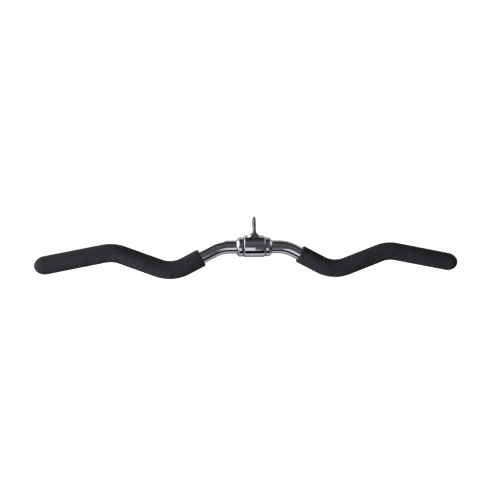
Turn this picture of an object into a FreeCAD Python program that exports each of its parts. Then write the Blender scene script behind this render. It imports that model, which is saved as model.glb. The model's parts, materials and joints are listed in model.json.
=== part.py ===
import FreeCAD, Part
import math
import os

import Sketcher

# Cable-machine EZ curl bar. +Z is up, X runs along the bar and the origin is the centre of the
# carabiner eye. Every sub-part is drawn about the swivel axis and then set down by the eye height.
# A left-hand sub-part is the right-hand one turned half round about Z.

SIZES = {
    # bent bar
    "overall_length": 700,
    "bar_diameter": 22,
    "bend_radius": 55,
    "hub_half_flat": 40.5,
    "inner_slope": 27.8,
    "inner_run": 51.2,
    "middle_slope": 20.5,
    "middle_run": 60.2,
    "outer_slope": 11,
    # grips
    "grip_wall": 4,
    "grip_bond": 0.05,
    "grip_edge": 1.5,
    "left_grip_start": 22,
    "right_grip_start": 12,
    # swivel sleeve with its eye
    "sleeve_wall": 4,
    "sleeve_length": 35,
    "sleeve_chamfer": 1.5,
    "sleeve_lift": 1,
    "shoulder_height": 1,
    "shoulder_width": 7,
    "eye_hole": 14,
    "eye_neck": 1.5,
    "eye_thickness": 4.4,
    "flare_land": 2.8,
    "eye_rim": 0.9,
    "eye_lip": 0.8,
    # bushes
    "bush_wall": 2.95,
    "bush_clearance": 0.05,
    "bush_recess": 0.5,
    "bush_split": 0.4,
    # thrust washers and collars
    "slide_clearance": 0.2,
    "washer_width": 4.3,
    "washer_thickness": 1,
    "washer_play": 0.2,
    "collar_wall": 4.8,
    "collar_lip": 0.5,
    "collar_length": 10.5,
    "collar_chamfer": 4.3,
    # set screws
    "screw_diameter": 4,
    "screw_length": 4,
    "screw_point": 0.6,
    "socket_width": 2,
    "socket_depth": 1.8,
    "thread_clearance": 0.05,
}

BAR_RADIUS = "dims.bar_diameter / 2"
GRIP_RADIUS = f"({BAR_RADIUS} + dims.grip_wall)"
RUNNING_RADIUS = f"({BAR_RADIUS} + dims.bush_clearance)"
SEAT_RADIUS = f"({RUNNING_RADIUS} + dims.bush_wall)"
SLEEVE_RADIUS = f"({SEAT_RADIUS} + dims.sleeve_wall)"
SEAT_DEPTH = "(dims.sleeve_length - dims.shoulder_width) / 2"
EYE_RADIUS = f"({SLEEVE_RADIUS} * 2 / 3)"
EYE_FACE = "dims.eye_thickness / 2"
FLARE_END = "(dims.sleeve_length / 2 - dims.sleeve_chamfer - dims.flare_land)"
FLARE_RADIUS = f"({FLARE_END} - {EYE_FACE})"
FLARE_TOP = f"(dims.sleeve_lift + {SLEEVE_RADIUS} + {FLARE_RADIUS})"
EYE_HEIGHT = f"({FLARE_TOP} + dims.eye_neck + dims.eye_hole / 2)"
SLIDE_RADIUS = f"({BAR_RADIUS} + dims.slide_clearance)"
COLLAR_RADIUS = f"({SLIDE_RADIUS} + dims.collar_wall)"
WASHER_START = "(dims.sleeve_length / 2 + dims.washer_play)"
COLLAR_START = f"({WASHER_START} + dims.washer_thickness)"
COLLAR_LAND = "(dims.collar_length - dims.collar_chamfer)"
SCREW_STATION = f"({COLLAR_START} + {COLLAR_LAND} / 2)"
SCREW_END = f"({BAR_RADIUS} + dims.screw_length)"
END_STATION = f"(dims.overall_length / 2 - {GRIP_RADIUS})"

START, END, CENTRE = range(1, 4)
ORIGIN = (-1, START)
X_AXIS, Y_AXIS = range(-1, -3, -1)
NEAR = 1e-4


def add_sheet(doc):
    """The driving sizes, in millimetres and degrees."""
    sheet = doc.addObject("Spreadsheet::Sheet", "dims")
    for row, (alias, value) in enumerate(SIZES.items(), start=1):
        sheet.set(f"A{row}", alias)
        sheet.set(f"B{row}", str(value))
        sheet.setAlias(f"B{row}", alias)
    doc.recompute()


def number(item, expression):
    """What an expression on the sheet comes to now."""
    return float(item.evalExpression(expression))


def add_body(doc, label, turned=0, tipped=0):
    """A body set down by the eye height, tipped about X and then turned about Z, in degrees."""
    body = doc.addObject("PartDesign::Body", label)
    body.Label = label
    about_z = FreeCAD.Rotation(FreeCAD.Vector(0, 0, 1), turned)
    about_x = FreeCAD.Rotation(FreeCAD.Vector(1, 0, 0), tipped)
    body.Placement = FreeCAD.Placement(FreeCAD.Vector(), about_z * about_x)
    body.setExpression(".Placement.Base.z", f"-{EYE_HEIGHT}")
    return body


def origin_plane(body, role):
    return next(item for item in body.Origin.OriginFeatures if item.Role == role)


def add_sketch(body, name, role, offset=None):
    """A sketch on one of the body's own planes, moved along its normal by an expression."""
    sketch = body.newObject("Sketcher::SketchObject", name)
    sketch.AttachmentSupport = [(origin_plane(body, role), "")]
    sketch.MapMode = "FlatFace"
    if offset:
        sketch.setExpression(".AttachmentOffset.Base.z", offset)
    return sketch


def add_section(body, name, path):
    """A sketch square to the first drawn edge of a path, at that edge's start."""
    sketch = body.newObject("Sketcher::SketchObject", name)
    sketch.AttachmentSupport = [(path, "Edge1")]
    sketch.MapMode = "NormalToEdge"
    sketch.MapPathParameter = 0
    return sketch


def add_feature(body, kind, name, profile=None, **sizes):
    """A feature whose sizes are expressions."""
    feature = body.newObject(f"PartDesign::{kind}", name)
    if profile:
        feature.Profile = profile
        profile.Visibility = False
    for size, expression in sizes.items():
        feature.setExpression(size, expression)
    return feature


def relate(sketch, kind, *references):
    sketch.addConstraint(Sketcher.Constraint(kind, *references))


def bind(sketch, name, expression, kind, *references, unit="mm"):
    """A named dimension that the sheet drives."""
    value = FreeCAD.Units.Quantity(f"{number(sketch, expression)} {unit}")
    index = sketch.addConstraint(Sketcher.Constraint(kind, *references, value))
    sketch.renameConstraint(index, name)
    sketch.setExpression(f"Constraints.{name}", f"({expression}) * 1 {unit}")


def add_circle(sketch, name, radius, station=None):
    """A circle about the sketch's origin, or about a station on its X axis."""
    x = number(sketch, station) if station else 0
    circle = Part.Circle(FreeCAD.Vector(x, 0, 0), FreeCAD.Vector(0, 0, 1), number(sketch, radius))
    index = sketch.addGeometry(circle, False)
    if station:
        relate(sketch, "PointOnObject", index, CENTRE, X_AXIS)
        bind(sketch, f"{name}_station", station, "DistanceX", *ORIGIN, index, CENTRE)
    else:
        relate(sketch, "Coincident", index, CENTRE, *ORIGIN)
    bind(sketch, name, radius, "Radius", index)


def add_outline(sketch, corners):
    """A closed outline of straight sides through (x, y) pairs of expressions, all positive."""
    points = [FreeCAD.Vector(number(sketch, x), number(sketch, y), 0) for x, y in corners]
    for index, point in enumerate(points):
        following = points[(index + 1) % len(points)]
        sketch.addGeometry(Part.LineSegment(point, following), False)
    for index, (x, y) in enumerate(corners):
        relate(sketch, "Coincident", index, END, (index + 1) % len(points), START)
        bind(sketch, f"x{index}", x, "DistanceX", *ORIGIN, index, START)
        bind(sketch, f"y{index}", y, "DistanceY", *ORIGIN, index, START)


def edges_where(shape, test):
    """Names of the edges whose ends and middle all pass a test on their points."""
    names = []
    for index, edge in enumerate(shape.Edges, start=1):
        first, last = edge.ParameterRange
        points = [edge.valueAt(first + (last - first) * share) for share in (0, 0.5, 1)]
        if all(test(point) for point in points):
            names.append(f"Edge{index}")
    return names


class PathPen:
    """Draws the centreline of half the bar, outward from the swivel, run by run."""

    def __init__(self, sketch):
        self.sketch = sketch
        self.point = FreeCAD.Vector()
        self.angle = 0
        self.last = ORIGIN
        self.arc_last = False

    def heading(self):
        about_z = FreeCAD.Rotation(FreeCAD.Vector(0, 0, 1), self.angle)
        return about_z.multVec(FreeCAD.Vector(1, 0, 0))

    def run(self, name, length, angle, drawn, to_station=False):
        """A straight run; its length is an expression, or its end is at a station along X."""
        reach = number(self.sketch, length)
        if to_station:
            reach = (reach - self.point.x) / self.heading().x
        end = self.point + self.heading() * reach
        index = self.sketch.addGeometry(Part.LineSegment(self.point, end), not drawn)
        join = "Tangent" if self.arc_last else "Coincident"
        relate(self.sketch, join, *self.last, index, START)
        bind(self.sketch, f"{name}_slope", angle, "Angle", index, unit="deg")
        if to_station:
            bind(self.sketch, name, length, "DistanceX", *ORIGIN, index, END)
        else:
            bind(self.sketch, name, length, "Distance", index)
        self.point = end
        self.last = (index, END)
        self.arc_last = False

    def bend(self, name, angle, drawn):
        """A bend of the die's radius that ends at the given slope."""
        radius = number(self.sketch, "dims.bend_radius")
        turn = number(self.sketch, angle) - self.angle
        side = 1 if turn > 0 else -1
        normal = FreeCAD.Vector(-self.heading().y, self.heading().x, 0) * side
        centre = self.point + normal * radius
        about_z = FreeCAD.Rotation(FreeCAD.Vector(0, 0, 1), turn)
        end = centre + about_z.multVec(self.point - centre)
        half = FreeCAD.Rotation(FreeCAD.Vector(0, 0, 1), turn / 2)
        middle = centre + half.multVec(self.point - centre)
        arc = Part.Arc(self.point, middle, end)
        index = self.sketch.addGeometry(arc, not drawn)
        near, far = (START, END) if side > 0 else (END, START)
        relate(self.sketch, "Tangent", *self.last, index, near)
        bind(self.sketch, f"{name}_radius", "dims.bend_radius", "Radius", index)
        self.point = end
        self.angle = number(self.sketch, angle)
        self.last = (index, far)
        self.arc_last = True


INNER = "-dims.inner_slope"
MIDDLE = "dims.middle_slope"
OUTER = "-dims.outer_slope"


def draw_path(body, grip_start=None):
    """The half bar's centreline; for a grip only the stretch from its start on is drawn."""
    sketch = add_sketch(body, f"{body.Label}_path", "XZ_Plane")
    pen = PathPen(sketch)
    whole = grip_start is None
    pen.run("flat", "dims.hub_half_flat", "0", whole)
    pen.bend("inner_bend", INNER, whole)
    if whole:
        pen.run("inner_run", "dims.inner_run", INNER, True)
    else:
        pen.run("bare_run", grip_start, INNER, False)
        pen.run("inner_run", f"dims.inner_run - {grip_start}", INNER, True)
    pen.bend("middle_bend", MIDDLE, True)
    pen.run("middle_run", "dims.middle_run", MIDDLE, True)
    pen.bend("outer_bend", OUTER, True)
    pen.run("end_run", END_STATION, OUTER, True, to_station=True)
    body.Document.recompute()
    return sketch


def sweep(body, kind, name, section, path):
    feature = add_feature(body, kind, name, section)
    feature.Spine = (path, [])
    path.Visibility = False
    return feature


def make_bar(doc):
    """The bar: solid chromed steel, half swept along its bends and mirrored across the swivel."""
    body = add_body(doc, "bent_bar")
    path = draw_path(body)
    section = add_sketch(body, "bar_section", "YZ_Plane")
    add_circle(section, "outside", BAR_RADIUS)
    half = sweep(body, "AdditivePipe", "bar_half", section, path)
    both = add_feature(body, "Mirrored", "bar_both_halves")
    both.Originals = [half]
    both.MirrorPlane = (origin_plane(body, "YZ_Plane"), [""])
    body.Tip = both


def make_grip(doc, side, turned):
    """A moulded grip: a thick skin along the bar with a domed end and a rounded inner edge."""
    body = add_body(doc, f"{side}_grip", turned)
    path = draw_path(body, grip_start=f"dims.{side}_grip_start")
    points = [vertex.Point for vertex in path.Shape.Vertexes]
    tip = max(range(len(points)), key=lambda index: points[index].x)
    mouth = min(points, key=lambda point: point.x)

    skin_section = add_section(body, f"{side}_skin_section", path)
    add_circle(skin_section, "outside", GRIP_RADIUS)
    sweep(body, "AdditivePipe", f"{side}_skin", skin_section, path)

    dome = add_feature(body, "AdditiveSphere", f"{side}_dome", Radius=GRIP_RADIUS)
    dome.AttachmentSupport = [(path, f"Vertex{tip + 1}")]
    dome.MapMode = "Translate"

    core_section = add_section(body, f"{side}_core_section", path)
    add_circle(core_section, "inside", f"{BAR_RADIUS} + dims.grip_bond")
    core = sweep(body, "SubtractivePipe", f"{side}_core", core_section, path)
    doc.recompute()

    radius = number(body, GRIP_RADIUS)
    rim = edges_where(core.Shape, lambda point: abs(point.distanceToPoint(mouth) - radius) < NEAR)
    edge = add_feature(body, "Fillet", f"{side}_mouth_edge", Radius="dims.grip_edge")
    edge.Base = (core, rim)
    body.Tip = edge


def draw_eye(sketch):
    """A plate outline with a round top about the eye and straight sides down to the swivel axis."""
    radius = number(sketch, EYE_RADIUS)
    height = number(sketch, EYE_HEIGHT)
    crown = Part.Arc(
        FreeCAD.Vector(radius, height, 0),
        FreeCAD.Vector(0, height + radius, 0),
        FreeCAD.Vector(-radius, height, 0),
    )
    sides = [
        (FreeCAD.Vector(radius, 0, 0), FreeCAD.Vector(radius, height, 0)),
        (FreeCAD.Vector(-radius, height, 0), FreeCAD.Vector(-radius, 0, 0)),
        (FreeCAD.Vector(-radius, 0, 0), FreeCAD.Vector(radius, 0, 0)),
    ]
    top = sketch.addGeometry(crown, False)
    right, left, foot = [sketch.addGeometry(Part.LineSegment(*side), False) for side in sides]
    relate(sketch, "Tangent", right, END, top, START)
    relate(sketch, "Tangent", top, END, left, START)
    relate(sketch, "Coincident", left, END, foot, START)
    relate(sketch, "Coincident", foot, END, right, START)
    relate(sketch, "PointOnObject", top, CENTRE, Y_AXIS)
    relate(sketch, "PointOnObject", left, END, X_AXIS)
    relate(sketch, "PointOnObject", right, START, X_AXIS)
    relate(sketch, "Vertical", right)
    bind(sketch, "crown_radius", EYE_RADIUS, "Radius", top)
    bind(sketch, "crown_height", EYE_HEIGHT, "DistanceY", *ORIGIN, top, CENTRE)


def make_hanger(doc):
    """The swivel casting: a sleeve, thicker on top, with bush seats and a flared eye plate."""
    body = add_body(doc, "swivel_hanger")
    length = "dims.sleeve_length"
    sleeve = add_feature(body, "AdditiveCylinder", "sleeve", Radius=SLEEVE_RADIUS, Height=length)
    sleeve.AttachmentSupport = [(origin_plane(body, "YZ_Plane"), "")]
    sleeve.MapMode = "FlatFace"
    seam_up = FreeCAD.Rotation(FreeCAD.Vector(0, 0, 1), 90)
    sleeve.AttachmentOffset = FreeCAD.Placement(FreeCAD.Vector(), seam_up)
    sleeve.setExpression(".AttachmentOffset.Base.y", "dims.sleeve_lift")
    sleeve.setExpression(".AttachmentOffset.Base.z", f"-{length} / 2")
    eye_outline = add_sketch(body, "eye_outline", "YZ_Plane")
    draw_eye(eye_outline)
    plate = add_feature(body, "Pad", "eye_plate", eye_outline, Length="dims.eye_thickness")
    plate.Midplane = True
    doc.recompute()

    radius = number(body, SLEEVE_RADIUS)
    half_width = number(body, EYE_RADIUS)
    face = number(body, EYE_FACE)
    end = number(body, "dims.sleeve_length / 2")
    flare_radius = number(body, FLARE_RADIUS)
    lift = number(body, "dims.sleeve_lift")

    def off_axis(point):
        return math.hypot(point.y, point.z - lift)

    def on_foot(point):
        return abs(off_axis(point) - radius) < NEAR and abs(abs(point.x) - face) < NEAR

    def on_crown(point):
        return abs(abs(point.x) - face) < NEAR and off_axis(point) > radius + flare_radius + NEAR

    def on_side(point):
        return abs(abs(point.y) - half_width) < NEAR and abs(point.x) > face - NEAR

    def on_sleeve_end(point):
        return abs(abs(point.x) - end) < NEAR

    flare = add_feature(body, "Fillet", "eye_flare", Radius=FLARE_RADIUS)
    flare.Base = (plate, edges_where(plate.Shape, on_foot))
    doc.recompute()
    edges = set(edges_where(flare.Shape, on_crown)) | set(edges_where(flare.Shape, on_side))
    rim = add_feature(body, "Fillet", "eye_rim", Radius="dims.eye_rim")
    rim.Base = (flare, sorted(edges))
    doc.recompute()
    ends = add_feature(body, "Chamfer", "sleeve_ends", Size="dims.sleeve_chamfer")
    ends.Base = (rim, edges_where(rim.Shape, on_sleeve_end))

    bore_section = add_sketch(body, "bore_section", "YZ_Plane")
    add_circle(bore_section, "shoulder", f"{SEAT_RADIUS} - dims.shoulder_height")
    bore = add_feature(body, "Pocket", "bore", bore_section, Length="dims.sleeve_length")
    bore.Midplane = True
    seat_section = add_sketch(body, "seat_section", "YZ_Plane", "dims.sleeve_length / 2")
    add_circle(seat_section, "seat", SEAT_RADIUS)
    seat = add_feature(body, "Pocket", "seat", seat_section, Length=SEAT_DEPTH)
    seats = add_feature(body, "Mirrored", "both_seats")
    seats.Originals = [seat]
    seats.MirrorPlane = (origin_plane(body, "YZ_Plane"), [""])
    body.Tip = seats

    hole_section = add_sketch(body, "eye_hole_section", "YZ_Plane")
    hole = hole_section.addGeometry(
        Part.Circle(
            FreeCAD.Vector(0, number(body, EYE_HEIGHT), 0),
            FreeCAD.Vector(0, 0, 1),
            number(body, "dims.eye_hole / 2"),
        ),
        False,
    )
    relate(hole_section, "PointOnObject", hole, CENTRE, Y_AXIS)
    bind(hole_section, "height", EYE_HEIGHT, "DistanceY", *ORIGIN, hole, CENTRE)
    bind(hole_section, "hole", "dims.eye_hole", "Diameter", hole)
    eye = add_feature(body, "Pocket", "eye_hole", hole_section, Length="dims.sleeve_length")
    eye.Midplane = True
    doc.recompute()

    centre = FreeCAD.Vector(0, 0, number(body, EYE_HEIGHT))
    hole_radius = number(body, "dims.eye_hole / 2")

    def on_hole(point):
        across = FreeCAD.Vector(0, point.y, point.z)
        return abs(across.distanceToPoint(centre) - hole_radius) < NEAR

    lip = add_feature(body, "Fillet", "eye_lip", Radius="dims.eye_lip")
    lip.Base = (eye, edges_where(eye.Shape, on_hole))
    body.Tip = lip


def make_bush_half(doc, side, half, turned, tipped):
    """Half a plain bush: a split pair goes over the bent bar where a closed ring could not."""
    body = add_body(doc, f"{side}_bush_{half}", turned, tipped)
    inner_end = "dims.shoulder_width / 2"
    sketch = add_sketch(body, f"{side}_{half}_section", "YZ_Plane", inner_end)
    gap = number(sketch, "dims.bush_split / 2")
    arcs = []
    for name, radius in (("outside", SEAT_RADIUS), ("inside", RUNNING_RADIUS)):
        size = number(sketch, radius)
        reach = (size ** 2 - gap ** 2) ** 0.5
        arc = Part.Arc(
            FreeCAD.Vector(reach, gap, 0),
            FreeCAD.Vector(0, size, 0),
            FreeCAD.Vector(-reach, gap, 0),
        )
        index = sketch.addGeometry(arc, False)
        relate(sketch, "Coincident", index, CENTRE, *ORIGIN)
        bind(sketch, name, radius, "Radius", index)
        for end in (START, END):
            bind(sketch, f"{name}_gap{end}", "dims.bush_split / 2", "DistanceY", *ORIGIN, index, end)
        arcs.append((index, reach))
    (outside, far), (inside, near) = arcs
    for end, sign in ((START, 1), (END, -1)):
        line = Part.LineSegment(FreeCAD.Vector(sign * far, gap, 0), FreeCAD.Vector(sign * near, gap, 0))
        index = sketch.addGeometry(line, False)
        relate(sketch, "Coincident", index, START, outside, end)
        relate(sketch, "Coincident", index, END, inside, end)
    length = f"{SEAT_DEPTH} - dims.bush_recess"
    body.Tip = add_feature(body, "Pad", f"{side}_{half}_shell", sketch, Length=length)


def make_washer(doc, side, turned):
    """A thin plastic ring that keeps the collar off the sleeve's end."""
    body = add_body(doc, f"{side}_thrust_washer", turned)
    section = add_sketch(body, f"{side}_washer_section", "YZ_Plane", WASHER_START)
    add_circle(section, "outside", f"{SLIDE_RADIUS} + dims.washer_width")
    add_circle(section, "inside", SLIDE_RADIUS)
    body.Tip = add_feature(body, "Pad", f"{side}_washer", section, Length="dims.washer_thickness")


def make_collar(doc, side, turned):
    """A turned collar, chamfered outward, with a set-screw hole underneath."""
    body = add_body(doc, f"{side}_collar", turned)
    profile = add_sketch(body, f"{side}_collar_profile", "XZ_Plane")
    outer_end = f"{COLLAR_START} + dims.collar_length"
    add_outline(profile, [
        (COLLAR_START, SLIDE_RADIUS),
        (outer_end, SLIDE_RADIUS),
        (outer_end, f"{SLIDE_RADIUS} + dims.collar_lip"),
        (f"{COLLAR_START} + {COLLAR_LAND}", COLLAR_RADIUS),
        (COLLAR_START, COLLAR_RADIUS),
    ])
    ring = add_feature(body, "Revolution", f"{side}_collar_ring", profile)
    ring.ReferenceAxis = (profile, ["H_Axis"])
    ring.Angle = 360
    hole_section = add_sketch(body, f"{side}_screw_hole_section", "XY_Plane")
    add_circle(hole_section, "hole", "dims.screw_diameter / 2", SCREW_STATION)
    body.Tip = add_feature(body, "Pocket", f"{side}_screw_hole", hole_section, Length=COLLAR_RADIUS)


def draw_socket(sketch):
    """A hexagon about the set screw's axis, two sides along the bar."""
    station = number(sketch, SCREW_STATION)
    reach = number(sketch, "dims.socket_width / sqrt(3)")
    centre = FreeCAD.Vector(station, 0, 0)
    guide = sketch.addGeometry(Part.Circle(centre, FreeCAD.Vector(0, 0, 1), reach), True)
    relate(sketch, "PointOnObject", guide, CENTRE, X_AXIS)
    bind(sketch, "station", SCREW_STATION, "DistanceX", *ORIGIN, guide, CENTRE)
    bind(sketch, "reach", "dims.socket_width / sqrt(3)", "Radius", guide)
    spokes = [FreeCAD.Rotation(FreeCAD.Vector(0, 0, 1), 60 * step) for step in range(6)]
    corners = [centre + spoke.multVec(FreeCAD.Vector(reach, 0, 0)) for spoke in spokes]
    sides = []
    for step, corner in enumerate(corners):
        sides.append(sketch.addGeometry(Part.LineSegment(corner, corners[(step + 1) % 6]), False))
    for step, side in enumerate(sides):
        relate(sketch, "Coincident", side, END, sides[(step + 1) % 6], START)
        relate(sketch, "PointOnObject", side, START, guide)
    for side in sides[1:]:
        relate(sketch, "Equal", sides[0], side)
    relate(sketch, "PointOnObject", sides[0], START, X_AXIS)


def make_screw(doc, side, turned):
    """A socket set screw whose point bears on the bar from below."""
    body = add_body(doc, f"{side}_set_screw", turned)
    section = add_sketch(body, f"{side}_screw_section", "XY_Plane", f"-{BAR_RADIUS}")
    add_circle(section, "shank", "dims.screw_diameter / 2 - dims.thread_clearance", SCREW_STATION)
    shank = add_feature(body, "Pad", f"{side}_shank", section, Length="dims.screw_length")
    shank.Reversed = True
    doc.recompute()
    point_level = -number(body, BAR_RADIUS)
    at_point = edges_where(shank.Shape, lambda point: abs(point.z - point_level) < NEAR)
    tip = add_feature(body, "Chamfer", f"{side}_point", Size="dims.screw_point")
    tip.Base = (shank, at_point)
    socket_section = add_sketch(body, f"{side}_socket_section", "XY_Plane", f"-{SCREW_END}")
    draw_socket(socket_section)
    socket = add_feature(body, "Pocket", f"{side}_socket", socket_section, Length="dims.socket_depth")
    socket.Reversed = True
    body.Tip = socket


def check(doc):
    """Stop if an object failed or a sub-part is not one sound solid."""
    for item in doc.Objects:
        if {"Invalid", "Error"} & set(item.State):
            raise RuntimeError(f"{item.Label} failed: {item.State}")
    for body in doc.findObjects("PartDesign::Body"):
        shape = body.Shape
        if shape.isNull() or not shape.isValid() or len(shape.Solids) != 1:
            raise RuntimeError(f"{body.Label} is not one valid solid")


def main():
    doc = FreeCAD.newDocument("curl_bar")
    add_sheet(doc)
    make_bar(doc)
    make_hanger(doc)
    for side, turned in (("left", 180), ("right", 0)):
        make_grip(doc, side, turned)
        make_collar(doc, side, turned)
        make_screw(doc, side, turned)
        make_washer(doc, side, turned)
        make_bush_half(doc, side, "upper_half", turned, 0)
        make_bush_half(doc, side, "lower_half", turned, 180)
    doc.recompute()
    check(doc)
    os.makedirs("parts", exist_ok=True)
    for body in doc.findObjects("PartDesign::Body"):
        body.Shape.exportStep(f"parts/{body.Label}.step")


main()
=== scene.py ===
import copy
import json
import math

import bmesh
import bpy
from bpy.props import FloatProperty, FloatVectorProperty, PointerProperty
from mathutils import Euler, Matrix, Vector


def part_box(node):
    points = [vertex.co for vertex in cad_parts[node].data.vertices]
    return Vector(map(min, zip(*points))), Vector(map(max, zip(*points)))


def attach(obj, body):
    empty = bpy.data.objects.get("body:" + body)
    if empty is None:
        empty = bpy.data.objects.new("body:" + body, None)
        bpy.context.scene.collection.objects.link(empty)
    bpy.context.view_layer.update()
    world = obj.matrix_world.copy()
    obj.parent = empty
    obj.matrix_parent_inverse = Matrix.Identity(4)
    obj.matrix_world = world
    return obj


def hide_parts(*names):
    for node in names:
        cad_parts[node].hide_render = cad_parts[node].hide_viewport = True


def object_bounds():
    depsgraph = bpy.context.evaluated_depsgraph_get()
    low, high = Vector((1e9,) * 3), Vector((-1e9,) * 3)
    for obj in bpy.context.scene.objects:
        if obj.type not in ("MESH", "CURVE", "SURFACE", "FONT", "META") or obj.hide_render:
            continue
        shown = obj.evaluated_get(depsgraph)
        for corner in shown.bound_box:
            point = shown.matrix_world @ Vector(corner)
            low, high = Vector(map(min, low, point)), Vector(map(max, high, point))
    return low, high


bl_info = {
    "name": "EZ Curl Bar",
    "version": (1, 0, 0),
    "blender": (4, 5, 0),
    "location": "View3D > Sidebar > Curl Bar",
    "description": "Builds a cable-machine curl bar with moulded grips and a revolving hanger",
    "category": "Add Mesh",
}

# Frame: metres, +X along the bar, +Z up, origin at the centre of the carabiner eye.
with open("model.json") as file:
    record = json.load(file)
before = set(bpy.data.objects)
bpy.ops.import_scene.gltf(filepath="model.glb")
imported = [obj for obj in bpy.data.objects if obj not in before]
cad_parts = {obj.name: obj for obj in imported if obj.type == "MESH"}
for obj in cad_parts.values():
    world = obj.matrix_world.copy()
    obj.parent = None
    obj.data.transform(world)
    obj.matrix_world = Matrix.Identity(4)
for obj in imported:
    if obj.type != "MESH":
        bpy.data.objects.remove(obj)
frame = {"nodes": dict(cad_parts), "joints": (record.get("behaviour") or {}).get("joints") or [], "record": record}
CAD_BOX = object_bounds()

MM = 0.001
FULL_TURN = math.radians(360)
# Points closer than NEAR are one point, and so are those closer than SLIVER that a cut leaves.
NEAR = 1e-6
SLIVER = 5e-7
# Each side's sign along X.
SIDES = {"left": -1, "right": 1}
SWIVEL_HEIGHT = frame["joints"][0]["pos_m"][2]
BAR_SEGMENTS = 96
GRIP_SEGMENTS = 112
HUB_SEGMENTS = 160
SCREW_SEGMENTS = 48
SCREW_HOLE_SEGMENTS = 64
EYE_SEGMENTS = 128
DOME_STEPS = 24
FLARE_STEPS = 28
COVE_STEPS = 24
BEND_STEP = math.radians(1.5)
SMOOTH_ANGLE = math.radians(32)
# The eye's fillets run on into the plate, past their upper end, and into the sleeve.
FLARE_INTO_PLATE = 0.6 * MM
FLARE_PAST_END = 0.4 * MM
FLARE_INTO_SLEEVE = 2 * MM


def linear(hex_colour):
    """Scene-linear red, green and blue of an sRGB hex colour."""
    channels = [int(hex_colour[at:at + 2], 16) / 255 for at in (1, 3, 5)]
    return [c / 12.92 if c <= 0.04045 else ((c + 0.055) / 1.055) ** 2.4 for c in channels]


def length(name, description, millimetres):
    """A length whose default is given in millimetres."""
    return FloatProperty(
        name=name,
        description=description,
        default=millimetres * MM,
        min=0,
        precision=5,
        unit="LENGTH",
    )


def angle(name, description, degrees):
    """An angle whose default is given in degrees."""
    return FloatProperty(
        name=name,
        description=description,
        default=math.radians(degrees),
        subtype="ANGLE",
    )


def colour(name, description, hex_colour):
    """A colour whose default is given as an sRGB hex value."""
    return FloatVectorProperty(
        name=name,
        description=description,
        default=linear(hex_colour),
        size=3,
        min=0,
        max=1,
        subtype="COLOR",
    )


def span(node, axis):
    """A CAD node's extent along one axis, in millimetres."""
    low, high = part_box(node)
    return round((high[axis] - low[axis]) / MM, 1)


def inner_face(node):
    """Where a right-hand CAD node begins along X, in millimetres."""
    return round(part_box(node)[0].x / MM, 1)


class CurlBarSizes(bpy.types.PropertyGroup):
    """Sizes of the bar, its grips and its swivel."""

    bar_diameter: length("Bar diameter", "Round steel bar", span("bent_bar", 1))
    end_station: length("End station", "Bar's end from the swivel, along X", 335)
    bend_radius: length("Bend radius", "Centreline radius of every bend", 55)
    hub_half_flat: length("Half flat", "Straight bar each side of the middle", 40.5)
    inner_run: length("Inner run", "Straight bar down from the first bend", 51.2)
    middle_run: length("Middle run", "Straight bar up from the dip", 60.2)
    inner_slope: angle("Inner slope", "Fall of the inner run", -27.8)
    middle_slope: angle("Middle slope", "Rise of the middle run", 20.5)
    outer_slope: angle("Outer slope", "Fall of the outer run", -11)
    grip_diameter: length("Grip diameter", "Outside of the grip", span("left_grip", 1))
    grip_bore: length("Grip bore", "Inside of the moulded grip", 22.1)
    dome_length: length("Dome length", "Grip's closed end from shoulder to tip", 18)
    grip_edge: length("Grip edge", "Rounding of the grip's inner end", 1.5)
    left_grip_start: length("Left grip start", "Bare inner run before the left grip", 22)
    right_grip_start: length("Right grip start", "Bare inner run before the right grip", 12)
    sleeve_diameter: length("Sleeve diameter", "Outside of the sleeve", span("swivel_hanger", 1))
    sleeve_length: length("Sleeve length", "Sleeve from end to end", span("swivel_hanger", 0))
    sleeve_chamfer: length("Sleeve chamfer", "Chamfer at the sleeve's ends", 1.5)
    sleeve_lift: length("Sleeve lift", "Outside of the sleeve above its bore", 1)
    seat_diameter: length("Seat diameter", "Bush seat in each end of the sleeve", 28)
    shoulder_diameter: length("Shoulder diameter", "Sleeve's bore between the bushes", 26)
    shoulder_width: length("Shoulder width", "Width of the shoulder between the bushes", 7)
    eye_hole: length("Eye hole", "Hole for the carabiner", 14)
    eye_width: length("Eye width", "Eye plate from front to back", 24)
    eye_thickness: length("Eye thickness", "Eye plate along the bar", 4.4)
    eye_flare: length("Eye flare", "Hollow fillet from the plate to the sleeve", 11)
    eye_flare_sunk: length("Flare sunk", "Fillet set into the plate and the sleeve", 0.02)
    eye_rim: length("Eye rim", "Rounding of the plate's outline", 0.9)
    eye_lip: length("Eye lip", "Rounding of the hole's edges", 0.8)
    collar_diameter: length("Collar diameter", "Outside of each collar", span("left_collar", 1))
    collar_bore: length("Collar bore", "Inside of each collar and washer", 22.4)
    collar_start: length("Collar start", "Inner face from the middle", inner_face("right_collar"))
    collar_length: length("Collar length", "Collar from face to face", 10.5)
    collar_chamfer: length("Collar chamfer", "Chamfer on the outer side", 4.3)
    washer_start: length("Washer start", "Inner face from the middle", inner_face("right_thrust_washer"))
    washer_thickness: length("Washer thickness", "Thrust washer along the bar", 1)
    washer_diameter: length("Washer diameter", "Outside of each washer", span("left_thrust_washer", 1))
    washer_edge: length("Washer edge", "Rounding of each washer's outside", 0.2)
    screw_hole: length("Screw hole", "Hole for the set screw", 4)
    screw_diameter: length("Screw diameter", "Set screw's outside", 3.9)
    screw_length: length("Screw length", "Set screw from point to socket", 4)
    screw_point: length("Screw point", "Chamfer round the set screw's point", 0.6)
    screw_edge: length("Screw edge", "Chamfer round the set screw's socket end", 0.12)
    socket_width: length("Socket width", "Hexagon across flats", 2)
    socket_depth: length("Socket depth", "Depth of the hexagon", 1.8)
    edge_break: length("Edge break", "Rounding of turned and cast edges", 0.3)


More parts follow.
